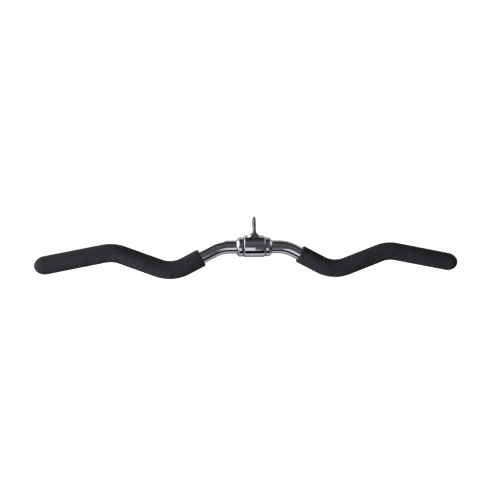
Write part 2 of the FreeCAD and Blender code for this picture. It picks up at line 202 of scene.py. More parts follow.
class CurlBarColours(bpy.types.PropertyGroup):
    """Finish colours."""

    chrome: colour("Chrome", "Bright chrome plate", "#C6C9CC")
    chrome_haze: colour("Chrome haze", "Chrome where polish is duller", "#B4B7BC")
    urethane: colour("Urethane", "Moulded black grip", "#202224")
    urethane_bloom: colour("Urethane bloom", "Grip where the skin has a dusty bloom", "#2F3135")
    black_oxide: colour("Black oxide", "Set screw", "#222224")
    black_oxide_worn: colour("Worn oxide", "Set screw where the key has rubbed it", "#3C3B3A")
    acetal: colour("Acetal", "Washers and bushes", "#17181A")
    acetal_cut: colour("Cut acetal", "Acetal along the turning marks", "#202124")


class CurlBarStage(bpy.types.PropertyGroup):
    """Camera and studio."""

    camera_azimuth: angle("Camera azimuth", "Camera round the object, negative to the left", -6.04)
    camera_distance: length("Camera distance", "Camera from the swivel", 900)
    camera_lens: FloatProperty(
        name="Lens",
        description="Focal length on a 36 mm wide sensor",
        default=39.28,
        unit="CAMERA",
    )
    camera_roll: angle("Camera roll", "Turn of the picture about its middle", 0.37)
    camera_shift: FloatVectorProperty(
        name="Shift",
        description="Picture moved across the view, as a share of its width",
        default=(-0.0079, -0.0062),
        size=2,
    )
    floor_drop: length("Floor drop", "Floor below the lowest point", 0.5)
    floor: colour("Floor", "Pale seamless paper", "#F6F6F6")


class TubePen:
    """Sweeps a ring of edges along runs and bends in the XZ plane."""

    def __init__(self, bm, radius, segments, point=(0, 0, 0), heading=0.0):
        self.bm = bm
        self.radius = radius
        self.point = Vector(point)
        self.heading = heading
        self.travelled = 0.0
        self.along = bm.verts.layers.float.get("along") or bm.verts.layers.float.new("along")
        upright = Euler((0, math.radians(90) - heading, 0)).to_matrix().to_4x4()
        ring = bmesh.ops.create_circle(
            bm,
            radius=radius,
            segments=segments,
            matrix=Matrix.Translation(self.point) @ upright,
        )
        self.verts = ring["verts"]

    def twin(self):
        """Another pen that starts from the same ring."""
        pen = copy.copy(self)
        pen.point = self.point.copy()
        return pen

    def edges(self):
        """Edges of the ring that the pen holds."""
        kept = set(self.verts)
        held = [e for v in self.verts for e in v.link_edges if set(e.verts) <= kept]
        return list(dict.fromkeys(held))

    def direction(self):
        """The way ahead, one unit long."""
        return Vector((math.cos(self.heading), 0, math.sin(self.heading)))

    def mark(self, travelled):
        """Note the way travelled on the ring, for patterns that follow the tube."""
        for vert in self.verts:
            vert[self.along] = travelled

    def extrude(self):
        """A new ring from the one held, still in its place."""
        made = bmesh.ops.extrude_edge_only(self.bm, edges=self.edges())
        self.verts = [item for item in made["geom"] if isinstance(item, bmesh.types.BMVert)]

    def run(self, reach):
        """A straight run."""
        self.extrude()
        step = self.direction() * reach
        bmesh.ops.translate(self.bm, verts=self.verts, vec=step)
        self.point += step
        self.travelled += reach
        self.mark(self.travelled)

    def widen(self, radius, reach=0.0):
        """A step or a cone to another radius."""
        self.run(reach)
        share = radius / self.radius
        to_centre = Matrix.Translation(-self.point)
        bmesh.ops.scale(self.bm, verts=self.verts, vec=[share] * 3, space=to_centre)
        self.radius = radius

    def bend(self, radius, heading):
        """A bend that ends at the given heading."""
        turn = heading - self.heading
        side = math.copysign(1, turn)
        centre = self.point + Vector((-math.sin(self.heading), 0, math.cos(self.heading))) * radius * side
        steps = max(2, round(abs(turn) / BEND_STEP))
        part = turn / steps
        for _ in range(steps):
            self.extrude()
            about = Matrix.Rotation(-part, 3, "Y")
            bmesh.ops.rotate(self.bm, verts=self.verts, cent=centre, matrix=about)
            self.point = centre + about @ (self.point - centre)
            self.travelled += radius * abs(part)
            self.mark(self.travelled)
        self.heading = heading

    def dome(self, reach):
        """A half ellipsoid that closes the tube."""
        base = self.point.copy()
        previous = 1.0
        for step in range(1, DOME_STEPS):
            rise = math.radians(90) * step / DOME_STEPS
            self.extrude()
            centre = base + self.direction() * reach * math.sin(rise)
            bmesh.ops.translate(self.bm, verts=self.verts, vec=centre - self.point)
            share = math.cos(rise)
            to_centre = Matrix.Translation(-centre)
            bmesh.ops.scale(self.bm, verts=self.verts, vec=[share / previous] * 3, space=to_centre)
            self.point = centre
            previous = share
            self.mark(self.travelled + reach * rise)
        self.extrude()
        bmesh.ops.pointmerge(self.bm, verts=self.verts, merge_co=base + self.direction() * reach)

    def cap(self):
        """A flat end."""
        bmesh.ops.edgeloop_fill(self.bm, edges=self.edges())


def follow_bar(pen, sizes, end, start=None):
    """Half the bar's centreline from the swivel, or from a start on the inner run, out to a station."""
    if start is None:
        pen.run(sizes.hub_half_flat)
        pen.bend(sizes.bend_radius, sizes.inner_slope)
        start = 0
    pen.run(sizes.inner_run - start)
    pen.bend(sizes.bend_radius, sizes.middle_slope)
    pen.run(sizes.middle_run)
    pen.bend(sizes.bend_radius, sizes.outer_slope)
    pen.run((end - pen.point.x) / math.cos(sizes.outer_slope))


def grip_mouth(sizes, start):
    """Centre of a grip's inner end, on the inner run."""
    radius, slope = sizes.bend_radius, sizes.inner_slope
    point = Vector((sizes.hub_half_flat, 0, 0))
    point += Vector((-math.sin(slope), 0, -(1 - math.cos(slope)))) * radius
    return point + Vector((math.cos(slope), 0, math.sin(slope))) * start


def rings_at(bm, station, radius):
    """Edges of the circle about X at a station and a radius."""
    def on_ring(vert):
        off_axis = math.hypot(vert.co.y, vert.co.z)
        return abs(vert.co.x - station) < NEAR and abs(off_axis - radius) < NEAR
    return [e for e in bm.edges if on_ring(e.verts[0]) and on_ring(e.verts[1])]


def draw_outline(bm, points, closed=True):
    """A line of edges from point to point, and back to the first if closed."""
    verts = [bm.verts.new(point) for point in points]
    start = 0 if closed else 1
    edges = [bm.edges.new((verts[at - 1], verts[at])) for at in range(start, len(verts))]
    return verts + edges


def spin_outline(bm, outline, axis, turn, steps):
    """Spin an outline about an axis through the origin; a full turn closes on itself."""
    full = turn == FULL_TURN
    bmesh.ops.spin(
        bm,
        geom=outline,
        cent=(0, 0, 0),
        axis=axis,
        dvec=(0, 0, 0),
        angle=turn,
        steps=steps,
        use_merge=full,
        use_duplicate=False,
    )
    if full:
        bmesh.ops.remove_doubles(bm, verts=bm.verts, dist=NEAR)
        bmesh.ops.recalc_face_normals(bm, faces=bm.faces)


def turn_profile(bm, corners):
    """Spin a closed outline of (station, radius) corners into a ring about X."""
    outline = draw_outline(bm, [(station, 0, radius) for station, radius in corners])
    spin_outline(bm, outline, (1, 0, 0), FULL_TURN, HUB_SEGMENTS)


def round_edges(bm, edges, radius, segments=3):
    """Bevel edges to a round of the given radius."""
    bmesh.ops.bevel(
        bm,
        geom=edges,
        offset=radius,
        offset_type="OFFSET",
        segments=segments,
        profile=0.5,
        affect="EDGES",
        material=-1,
        clamp_overlap=True,
    )


def put_on_side(bm, sign):
    """Mirror a right-hand shape for the left side."""
    if sign < 0:
        bmesh.ops.scale(bm, verts=bm.verts, vec=(-1, 1, 1))
        bmesh.ops.reverse_faces(bm, faces=bm.faces)


def add_piece(bm, name, material=None, height=SWIVEL_HEIGHT):
    """An object at the origin, its mesh set down to the swivel's height and smooth between sharp edges."""
    bmesh.ops.translate(bm, verts=bm.verts, vec=(0, 0, height))
    for face in bm.faces:
        face.smooth = True
    mesh = bpy.data.meshes.new(name)
    bm.to_mesh(mesh)
    bm.free()
    mesh.set_sharp_from_angle(angle=SMOOTH_ANGLE)
    if material:
        mesh.materials.append(material)
    piece = bpy.data.objects.new(name, mesh)
    bpy.context.scene.collection.objects.link(piece)
    return piece


def combine(piece, tool, operation):
    """Join a tool shape to a piece, or cut it out, and drop the tool."""
    modifier = piece.modifiers.new(operation.lower(), "BOOLEAN")
    modifier.object = tool
    modifier.operation = operation
    modifier.solver = "EXACT"
    graph = bpy.context.evaluated_depsgraph_get()
    mesh = bpy.data.meshes.new_from_object(piece.evaluated_get(graph))
    if not mesh.polygons:
        raise RuntimeError(f"{operation} of {piece.name} and {tool.name} left no faces")
    piece.modifiers.clear()
    old = piece.data
    piece.data = mesh
    bpy.data.meshes.remove(old)
    mesh.name = piece.name
    tool_mesh = tool.data
    bpy.data.objects.remove(tool)
    bpy.data.meshes.remove(tool_mesh)


def finish_cuts(piece, material):
    """Weld the slivers that cutting leaves, and give the piece its edges and its material."""
    bm = bmesh.new()
    bm.from_mesh(piece.data)
    bmesh.ops.remove_doubles(bm, verts=bm.verts, dist=SLIVER)
    bmesh.ops.dissolve_degenerate(bm, edges=bm.edges, dist=SLIVER)
    bmesh.ops.recalc_face_normals(bm, faces=bm.faces)
    bm.to_mesh(piece.data)
    bm.free()
    piece.data.set_sharp_from_angle(angle=SMOOTH_ANGLE)
    piece.data.materials.clear()
    piece.data.materials.append(material)


def hand_over(piece, body, slot, *nodes):
    """The piece rides on its body and stands for its CAD nodes."""
    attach(piece, body)
    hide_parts(*nodes)


def add_node(tree, kind, settings=None, inputs=None):
    """A node with its settings; an input takes a value or another node's output."""
    node = tree.nodes.new(kind)
    for key, value in (settings or {}).items():
        setattr(node, key, value)
    for key, value in (inputs or {}).items():
        if isinstance(value, bpy.types.NodeSocket):
            tree.links.new(value, node.inputs[key])
        else:
            node.inputs[key].default_value = value
    return node


def start_material(name):
    """A material with an empty tree, its shader and its output."""
    material = bpy.data.materials.new(name)
    material.use_nodes = True
    tree = material.node_tree
    tree.nodes.clear()
    shader = add_node(tree, "ShaderNodeBsdfPrincipled")
    add_node(tree, "ShaderNodeOutputMaterial", inputs={"Surface": shader.outputs["BSDF"]})
    return material, tree, shader


def per_metre(millimetres):
    """Texture scale for features of this size."""
    return 1 / (millimetres * MM)


def opaque(rgb):
    """The colour with full alpha."""
    return (*rgb, 1.0)


def chrome_plate(name, colours, marks_along, mark_spacing, mark_depth, wave_depth):
    """Bright chrome plate: a clear mirror, with a faint haze left by wiping and fine tool marks under it.

    Spacing and depths are in millimetres.
    """
    material, tree, shader = start_material(name)
    place = add_node(tree, "ShaderNodeTexCoord").outputs["Object"]
    haze = add_node(
        tree,
        "ShaderNodeTexNoise",
        {"noise_dimensions": "3D"},
        {"Vector": place, "Scale": per_metre(14), "Detail": 5, "Roughness": 0.6},
    ).outputs["Fac"]
    if marks_along == "bar":
        station = add_node(tree, "ShaderNodeAttribute", {"attribute_name": "along"}).outputs["Fac"]
    else:
        station = add_node(tree, "ShaderNodeSeparateXYZ", inputs={"Vector": place}).outputs["X"]
    # Real tool marks are about 0.1 mm apart; they are drawn wider so that close views show them.
    marks = add_node(
        tree,
        "ShaderNodeTexNoise",
        {"noise_dimensions": "1D"},
        {"W": station, "Scale": per_metre(mark_spacing), "Detail": 2},
    ).outputs["Fac"]
    wave = add_node(
        tree,
        "ShaderNodeTexNoise",
        {"noise_dimensions": "3D"},
        {"Vector": place, "Scale": per_metre(22), "Detail": 1},
    ).outputs["Fac"]
    tint = add_node(
        tree,
        "ShaderNodeMix",
        {"data_type": "RGBA"},
        {"Factor": haze, "A": opaque(colours.chrome), "B": opaque(colours.chrome_haze)},
    )
    dulled = add_node(tree, "ShaderNodeMath", {"operation": "MULTIPLY"}, {0: haze, 1: marks})
    roughness = add_node(
        tree,
        "ShaderNodeMapRange",
        inputs={
            "Value": dulled.outputs[0],
            "From Min": 0.1,
            "From Max": 0.45,
            "To Min": 0.03,
            "To Max": 0.08,
        },
    )
    cut = add_node(
        tree,
        "ShaderNodeBump",
        inputs={"Height": marks, "Strength": 1.0, "Distance": mark_depth * MM},
    )
    swell = add_node(
        tree,
        "ShaderNodeBump",
        inputs={
            "Height": wave,
            "Strength": 1.0,
            "Distance": wave_depth * MM,
            "Normal": cut.outputs["Normal"],
        },
    )
    tree.links.new(tint.outputs["Result"], shader.inputs["Base Color"])
    tree.links.new(roughness.outputs["Result"], shader.inputs["Roughness"])
    tree.links.new(swell.outputs["Normal"], shader.inputs["Normal"])
    shader.inputs["Metallic"].default_value = 1.0
    return material


def moulded_urethane(colours):
    """Moulded urethane: dull black with a fine leathery grain from the mould and a faint dusty bloom."""
    material, tree, shader = start_material("Moulded black urethane, fine grain")
    place = add_node(tree, "ShaderNodeTexCoord").outputs["Object"]
    bloom = add_node(
        tree,
        "ShaderNodeTexNoise",
        inputs={"Vector": place, "Scale": per_metre(9), "Detail": 6, "Roughness": 0.65},
    ).outputs["Fac"]
    # The mould's grain is about 0.3 mm and the dust finer still; they are drawn at 1.2 and 1.8 mm so that
    # they show at this picture's scale.
    grain = add_node(
        tree,
        "ShaderNodeTexVoronoi",
        {"feature": "SMOOTH_F1"},
        {"Vector": place, "Scale": per_metre(1.2), "Smoothness": 0.6},
    ).outputs["Distance"]
    speck = add_node(
        tree,
        "ShaderNodeTexNoise",
        inputs={"Vector": place, "Scale": per_metre(1.8), "Detail": 3},
    ).outputs["Fac"]
    dusted = add_node(tree, "ShaderNodeMath", {"operation": "MULTIPLY"}, {0: bloom, 1: speck})
    share = add_node(
        tree,
        "ShaderNodeMapRange",
        inputs={"Value": dusted.outputs[0], "From Min": 0.12, "From Max": 0.4},
    )
    tint = add_node(
        tree,
        "ShaderNodeMix",
        {"data_type": "RGBA"},
        {
            "Factor": share.outputs["Result"],
            "A": opaque(colours.urethane),
            "B": opaque(colours.urethane_bloom),
        },
    )
    roughness = add_node(
        tree,
        "ShaderNodeMapRange",
        inputs={"Value": bloom, "From Min": 0.3, "From Max": 0.7, "To Min": 0.68, "To Max": 0.8},
    )
    coarse = add_node(
        tree,
        "ShaderNodeBump",
        inputs={"Height": grain, "Strength": 0.8, "Distance": 0.15 * MM},
    )
    fine = add_node(
        tree,
        "ShaderNodeBump",
        inputs={"Height": speck, "Strength": 0.8, "Distance": 0.1 * MM, "Normal": coarse.outputs["Normal"]},
    )
    tree.links.new(tint.outputs["Result"], shader.inputs["Base Color"])
    tree.links.new(roughness.outputs["Result"], shader.inputs["Roughness"])
    tree.links.new(fine.outputs["Normal"], shader.inputs["Normal"])
    shader.inputs["IOR"].default_value = 1.5
    shader.inputs["Specular IOR Level"].default_value = 0.1
    return material


def black_oxide_steel(colours):
    """Black-oxide alloy steel: a dark satin skin, rubbed browner where the key has turned it."""
    material, tree, shader = start_material("Black-oxide alloy steel")
    place = add_node(tree, "ShaderNodeTexCoord").outputs["Object"]
    rub = add_node(
        tree,
        "ShaderNodeTexNoise",
        inputs={"Vector": place, "Scale": per_metre(0.7), "Detail": 4},
    ).outputs["Fac"]
    tint = add_node(
        tree,
        "ShaderNodeMix",
        {"data_type": "RGBA"},
        {"Factor": rub, "A": opaque(colours.black_oxide), "B": opaque(colours.black_oxide_worn)},
    )
    roughness = add_node(
        tree,
        "ShaderNodeMapRange",
        inputs={"Value": rub, "To Min": 0.5, "To Max": 0.35},
    )
    tree.links.new(tint.outputs["Result"], shader.inputs["Base Color"])
    tree.links.new(roughness.outputs["Result"], shader.inputs["Roughness"])
    shader.inputs["Metallic"].default_value = 0.9
    return material


def turned_acetal(colours):
    """Turned black acetal: a soft waxy sheen with the lathe's fine rings."""
    material, tree, shader = start_material("Turned black acetal")
    place = add_node(tree, "ShaderNodeTexCoord").outputs["Object"]
    about_bar = add_node(
        tree,
        "ShaderNodeMapping",
        inputs={"Vector": place, "Location": (0, 0, -SWIVEL_HEIGHT), "Scale": (0, 1, 1)},
    ).outputs["Vector"]
    off_axis = add_node(
        tree, "ShaderNodeVectorMath", {"operation": "LENGTH"}, {0: about_bar}
    ).outputs["Value"]
    rings = add_node(
        tree,
        "ShaderNodeTexNoise",
        {"noise_dimensions": "1D"},
        {"W": off_axis, "Scale": per_metre(0.25), "Detail": 2},
    ).outputs["Fac"]
    tint = add_node(
        tree,
        "ShaderNodeMix",
        {"data_type": "RGBA"},
        {"Factor": rings, "A": opaque(colours.acetal), "B": opaque(colours.acetal_cut)},
    )
    roughness = add_node(
        tree,
        "ShaderNodeMapRange",
        inputs={"Value": rings, "To Min": 0.32, "To Max": 0.5},
    )
    cut = add_node(
        tree,
        "ShaderNodeBump",
        inputs={"Height": rings, "Strength": 0.6, "Distance": 0.02 * MM},
    )
    tree.links.new(tint.outputs["Result"], shader.inputs["Base Color"])
    tree.links.new(roughness.outputs["Result"], shader.inputs["Roughness"])
    tree.links.new(cut.outputs["Normal"], shader.inputs["Normal"])
    shader.inputs["IOR"].default_value = 1.48
    return material


class CURLBAR_OT_bar(bpy.types.Operator):
    """Sweep the bent bar, one half and its mirror image"""

    bl_idname = "curlbar.bar"
    bl_label = "Bent bar"

    def execute(self, context):
        sizes, colours = context.scene.curl_bar_sizes, context.scene.curl_bar_colours
        bm = bmesh.new()
        pen = TubePen(bm, sizes.bar_diameter / 2, BAR_SEGMENTS)
        follow_bar(pen, sizes, sizes.end_station)
        rim = pen.edges()
        pen.cap()
        bmesh.ops.recalc_face_normals(bm, faces=bm.faces)
        round_edges(bm, rim, sizes.edge_break)
        bmesh.ops.mirror(bm, geom=bm.verts[:] + bm.edges[:] + bm.faces[:], merge_dist=NEAR, axis="X")
        bmesh.ops.recalc_face_normals(bm, faces=bm.faces)
        finish = chrome_plate(
            "Bright chrome on ground steel bar",
            colours,
            marks_along="bar",
            mark_spacing=0.5,
            mark_depth=0.0004,
            wave_depth=0.03,
        )
        piece = add_piece(bm, "chromed_bar", finish)
        hand_over(piece, "bar", "bar_chrome", "bent_bar")
        return {"FINISHED"}


class CURLBAR_OT_grips(bpy.types.Operator):
    """Mould the two grips over the bar's runs, each closed by a dome"""

    bl_idname = "curlbar.grips"
    bl_label = "Moulded grips"

    def execute(self, context):
        sizes, colours = context.scene.curl_bar_sizes, context.scene.curl_bar_colours
        finish = moulded_urethane(colours)
        radius, slope = sizes.grip_diameter / 2, sizes.outer_slope
        tip = sizes.end_station + radius
        shoulder = tip - math.hypot(sizes.dome_length * math.cos(slope), radius * math.sin(slope))
        for side, sign in SIDES.items():
            start = getattr(sizes, f"{side}_grip_start")
            mouth = grip_mouth(sizes, start)
            bm = bmesh.new()
            bore = TubePen(bm, sizes.grip_bore / 2, GRIP_SEGMENTS, mouth, sizes.inner_slope)
            skin = bore.twin()
            skin.widen(radius)
            rim = skin.edges()
            follow_bar(skin, sizes, shoulder, start)
            skin.dome(sizes.dome_length)
            follow_bar(bore, sizes, sizes.end_station, start)
            bore.cap()
            bmesh.ops.recalc_face_normals(bm, faces=bm.faces)
            round_edges(bm, rim, sizes.grip_edge, segments=8)
            put_on_side(bm, sign)
            piece = add_piece(bm, f"{side}_grip_skin", finish)
            hand_over(piece, "bar", "grip_urethane", f"{side}_grip")
        return {"FINISHED"}


class CURLBAR_OT_hanger(bpy.types.Operator):
    """Shape the swivel casting: the bored sleeve with its flared eye plate"""

    bl_idname = "curlbar.hanger"
    bl_label = "Swivel hanger"

    def sleeve(self, sizes):
        """The sleeve's outside with a chamfer at both ends, and a rough hole that the bore clears."""
        radius, end, chamfer = sizes.sleeve_diameter / 2, sizes.sleeve_length / 2, sizes.sleeve_chamfer
        rough = radius / 3
        corners = [(end, radius - chamfer), (end - chamfer, radius)]
        corners += [(-station, off_axis) for station, off_axis in reversed(corners)]
        bm = bmesh.new()
        turn_profile(bm, [(-end, rough), (end, rough)] + corners)
        for station, off_axis in corners:
            round_edges(bm, rings_at(bm, station, off_axis), sizes.edge_break)
        return add_piece(bm, "swivel_casting", height=sizes.sleeve_lift)

    def drill(self, radius, start, end):
        """A round tool along X."""
        bm = bmesh.new()
        along_x = Matrix.Rotation(math.radians(90), 4, "Y")
        bmesh.ops.create_cone(
            bm,
            cap_ends=True,
            segments=HUB_SEGMENTS,
            radius1=radius,
            radius2=radius,
            depth=end - start,
            matrix=Matrix.Translation(((start + end) / 2, 0, 0)) @ along_x,
        )
        return add_piece(bm, "drill", height=0)

    def plate(self, sizes):
        """The eye plate: a round crown about the hole and straight sides into the sleeve."""
        half_width, foot = sizes.eye_width / 2, sizes.sleeve_diameter / 4
        at_eye = Matrix.Translation((-sizes.eye_thickness / 2, 0, -SWIVEL_HEIGHT))
        bm = bmesh.new()
        bmesh.ops.create_circle(
            bm,
            radius=sizes.eye_hole / 2,
            segments=EYE_SEGMENTS,
            matrix=at_eye @ Matrix.Rotation(math.radians(90), 4, "Y"),
        )
        made = bmesh.ops.extrude_edge_only(bm, edges=bm.edges[:])
        for vert in [item for item in made["geom"] if isinstance(item, bmesh.types.BMVert)]:
            y, z = vert.co.y, vert.co.z + SWIVEL_HEIGHT
            grow = half_width / math.hypot(y, z)
            if z < 0:
                grow = min(half_width / max(abs(y), NEAR), (-SWIVEL_HEIGHT - foot) / -z)
            vert.co.yz = (y * grow, z * grow - SWIVEL_HEIGHT)
        front = bm.faces[:]
        made = bmesh.ops.extrude_face_region(bm, geom=front, use_keep_orig=True)
        back = [item for item in made["geom"] if isinstance(item, bmesh.types.BMVert)]
        bmesh.ops.translate(bm, verts=back, vec=(sizes.eye_thickness, 0, 0))
        bmesh.ops.recalc_face_normals(bm, faces=bm.faces)

        def on_face(edge):
            return len({abs(face.normal.x) > 0.9 for face in edge.link_faces}) == 2

        def off_eye(edge):
            middle = (edge.verts[0].co + edge.verts[1].co) / 2
            return math.hypot(middle.y, middle.z + SWIVEL_HEIGHT)

        lip_reach = (sizes.eye_hole / 2 + half_width) / 2
        rims = [e for e in bm.edges if on_face(e) and off_eye(e) > lip_reach]
        lips = [e for e in bm.edges if on_face(e) and off_eye(e) < lip_reach]
        round_edges(bm, rims, sizes.eye_rim, segments=6)
        lips = [e for e in lips if e.is_valid]
        round_edges(bm, lips, sizes.eye_lip, segments=5)
        return add_piece(bm, "eye_plate", height=0)

    def flare(self, sizes):
        """The hollow fillets from the plate's faces to the sleeve, as wide as the plate."""
        sunk = sizes.eye_flare_sunk
        radius, reach = sizes.sleeve_diameter / 2 - sunk, sizes.eye_flare
        face = sizes.eye_thickness / 2 - sunk
        half = [(face - FLARE_INTO_PLATE, radius + reach + FLARE_PAST_END)]
        for step in range(FLARE_STEPS + 1):
            turn = math.radians(90) * step / FLARE_STEPS
            half.append((face + reach * (1 - math.cos(turn)), radius + reach * (1 - math.sin(turn))))
        half.append((half[-1][0], radius - FLARE_INTO_SLEEVE))
        profile = half + [(-station, off_axis) for station, off_axis in reversed(half)]
        bm = bmesh.new()
        outline = draw_outline(bm, [(station, 0, off_axis) for station, off_axis in profile])
        # An odd count sets the fillet's facets between the sleeve's.
        facets = HUB_SEGMENTS // 6 * 2 + 1
        sweep = FULL_TURN * facets / HUB_SEGMENTS
        about = Matrix.Rotation(-sweep / 2, 3, "X")
        bmesh.ops.rotate(bm, verts=bm.verts, cent=(0, 0, 0), matrix=about)
        spin_outline(bm, outline, (1, 0, 0), sweep, facets)
        for sign in (1, -1):
            cut = bmesh.ops.bisect_plane(
                bm,
                geom=bm.verts[:] + bm.edges[:] + bm.faces[:],
                dist=NEAR,
                plane_co=(0, sign * (sizes.eye_width / 2 - sunk), 0),
                plane_no=(0, sign, 0),
                clear_outer=True,
            )
            rim = [item for item in cut["geom_cut"] if isinstance(item, bmesh.types.BMEdge)]
            bmesh.ops.edgeloop_fill(bm, edges=rim)
        bmesh.ops.recalc_face_normals(bm, faces=bm.faces)
        return add_piece(bm, "eye_flare", height=sizes.sleeve_lift)

    def execute(self, context):
        sizes, colours = context.scene.curl_bar_sizes, context.scene.curl_bar_colours
        piece = self.sleeve(sizes)
        combine(piece, self.flare(sizes), "UNION")
        combine(piece, self.plate(sizes), "UNION")
        end, shoulder = sizes.sleeve_length / 2, sizes.shoulder_width / 2
        for tool in (
            self.drill(sizes.shoulder_diameter / 2, -2 * end, 2 * end),
            self.drill(sizes.seat_diameter / 2, shoulder, 2 * end),
            self.drill(sizes.seat_diameter / 2, -2 * end, -shoulder),
        ):
            combine(piece, tool, "DIFFERENCE")
        piece.data.transform(Matrix.Translation((0, 0, SWIVEL_HEIGHT)))
        finish = chrome_plate(
            "Chrome on polished casting",
            colours,
            marks_along="sleeve",
            mark_spacing=0.6,
            mark_depth=0.0012,
            wave_depth=0.05,
        )
        finish_cuts(piece, finish)
        hand_over(piece, "hanger", "hanger_chrome", "swivel_hanger")
        return {"FINISHED"}


class CURLBAR_OT_collars(bpy.types.Operator):
    """Turn the two collars and drill their set-screw holes"""

    bl_idname = "curlbar.collars"
    bl_label = "Collars"

    def execute(self, context):
        sizes, colours = context.scene.curl_bar_sizes, context.scene.curl_bar_colours
        finish = chrome_plate(
            "Chrome on turned steel",
            colours,
            marks_along="collar",
            mark_spacing=0.35,
            mark_depth=0.0025,
            wave_depth=0.0,
        )
        inner, outer = sizes.collar_bore / 2, sizes.collar_diameter / 2
        start, end = sizes.collar_start, sizes.collar_start + sizes.collar_length
        land = end - sizes.collar_chamfer
        corners = [
            (start, inner),
            (end, inner),
            (end, outer - sizes.collar_chamfer),
            (land, outer),
            (start, outer),
        ]
        for side, sign in SIDES.items():
            bm = bmesh.new()
            turn_profile(bm, corners)
            for station, off_axis in corners[2:]:
                round_edges(bm, rings_at(bm, station, off_axis), sizes.edge_break)
            put_on_side(bm, sign)
            piece = add_piece(bm, f"{side}_collar_ring")
            drill = bmesh.new()
            middle = sign * (start + land) / 2
            bmesh.ops.create_cone(
                drill,
                cap_ends=True,
                segments=SCREW_HOLE_SEGMENTS,
                radius1=sizes.screw_hole / 2,
                radius2=sizes.screw_hole / 2,
                depth=outer,
                matrix=Matrix.Translation((middle, 0, -outer)),
            )
            combine(piece, add_piece(drill, "drill"), "DIFFERENCE")
            finish_cuts(piece, finish)
            hand_over(piece, "bar", "collar_chrome", f"{side}_collar")
        return {"FINISHED"}


class CURLBAR_OT_washers(bpy.types.Operator):
    """Turn the two thrust washers between collars and sleeve, and finish the bushes in the same acetal"""

    bl_idname = "curlbar.washers"
    bl_label = "Thrust washers"

    def execute(self, context):
        sizes = context.scene.curl_bar_sizes
        finish = turned_acetal(context.scene.curl_bar_colours)
        inner, outer = sizes.collar_bore / 2, sizes.washer_diameter / 2
        start, end = sizes.washer_start, sizes.washer_start + sizes.washer_thickness
        for side, sign in SIDES.items():
            bm = bmesh.new()
            turn_profile(bm, [(start, inner), (end, inner), (end, outer), (start, outer)])
            for station in (start, end):
                round_edges(bm, rings_at(bm, station, outer), sizes.washer_edge)
            put_on_side(bm, sign)
            piece = add_piece(bm, f"{side}_thrust_ring", finish)
            hand_over(piece, "bar", "bearing_acetal", f"{side}_thrust_washer")
        for node in frame["record"]["behaviour"]["bodies"]["hanger"]:
            if "bush" in node:
                mesh = frame["nodes"][node].data
                mesh.materials.clear()
                mesh.materials.append(finish)
        return {"FINISHED"}


class CURLBAR_OT_screws(bpy.types.Operator):
    """Make the socket set screw under each collar"""

    bl_idname = "curlbar.screws"
    bl_label = "Set screws"

    def execute(self, context):
        sizes = context.scene.curl_bar_sizes
        finish = black_oxide_steel(context.scene.curl_bar_colours)
        radius, point, edge = sizes.screw_diameter / 2, sizes.screw_point, sizes.screw_edge
        land = sizes.collar_length - sizes.collar_chamfer
        top = -sizes.bar_diameter / 2
        for side, sign in SIDES.items():
            middle = sign * (sizes.collar_start + land / 2)
            bm = bmesh.new()
            pen = TubePen(bm, radius - point, SCREW_SEGMENTS, (middle, 0, top), math.radians(-90))
            pen.cap()
            pen.widen(radius, point)
            pen.run(sizes.screw_length - point - edge)
            pen.widen(radius - edge, edge)
            pen.extrude()
            for vert in pen.verts:
                turn = math.atan2(vert.co.y, vert.co.x - middle)
                off_flat = turn % math.radians(60) - math.radians(30)
                reach = sizes.socket_width / 2 / math.cos(off_flat)
                vert.co.xy = (middle + reach * math.cos(turn), reach * math.sin(turn))
            pen.run(-sizes.socket_depth)
            pen.cap()
            bmesh.ops.recalc_face_normals(bm, faces=bm.faces)
            piece = add_piece(bm, f"{side}_socket_screw", finish)
            hand_over(piece, "bar", "screw_steel", f"{side}_set_screw")
        return {"FINISHED"}


